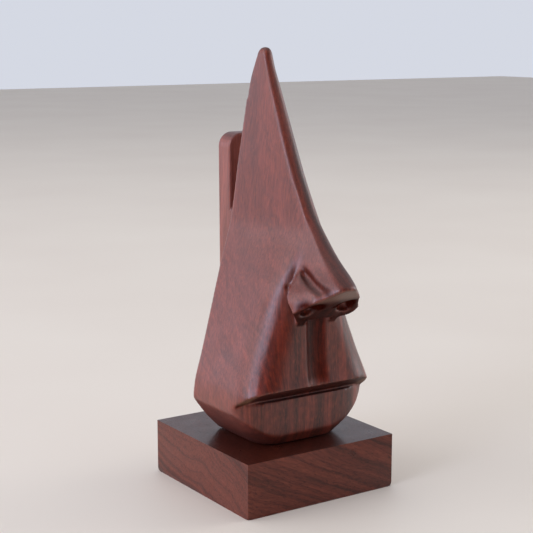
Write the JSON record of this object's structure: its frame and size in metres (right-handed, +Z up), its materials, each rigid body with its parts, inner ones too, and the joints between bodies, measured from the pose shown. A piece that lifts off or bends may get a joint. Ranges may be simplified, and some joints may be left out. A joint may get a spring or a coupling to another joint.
{
  "type": "eyeglasses display stand",
  "caption": "Carved wooden stand that holds eyeglasses on a nose-shaped head, with a slot behind it for the folded temples and a square base.",
  "frame": {"origin": "centre of the base's underside, on the surface that the stand rests on", "axes": "+Z up, -Y the way the face looks, +X to the viewer's right when the face is seen from the front"},
  "size_m": [0.0608, 0.0756, 0.154],
  "materials": {
    "carved_rosewood": "satin lacquer",
    "base_rosewood": "gloss lacquer",
    "rest_rosewood": "satin lacquer",
    "base_screw_steel": "zinc plated",
    "rest_screw_steel": "zinc plated"
  },
  "bodies": {
    "root": {"nose_head": "carved_rosewood", "base_block": "base_rosewood", "temple_rest": "rest_rosewood", "base_screw": "base_screw_steel", "rest_screw": "rest_screw_steel"}
  },
  "joints": []
}
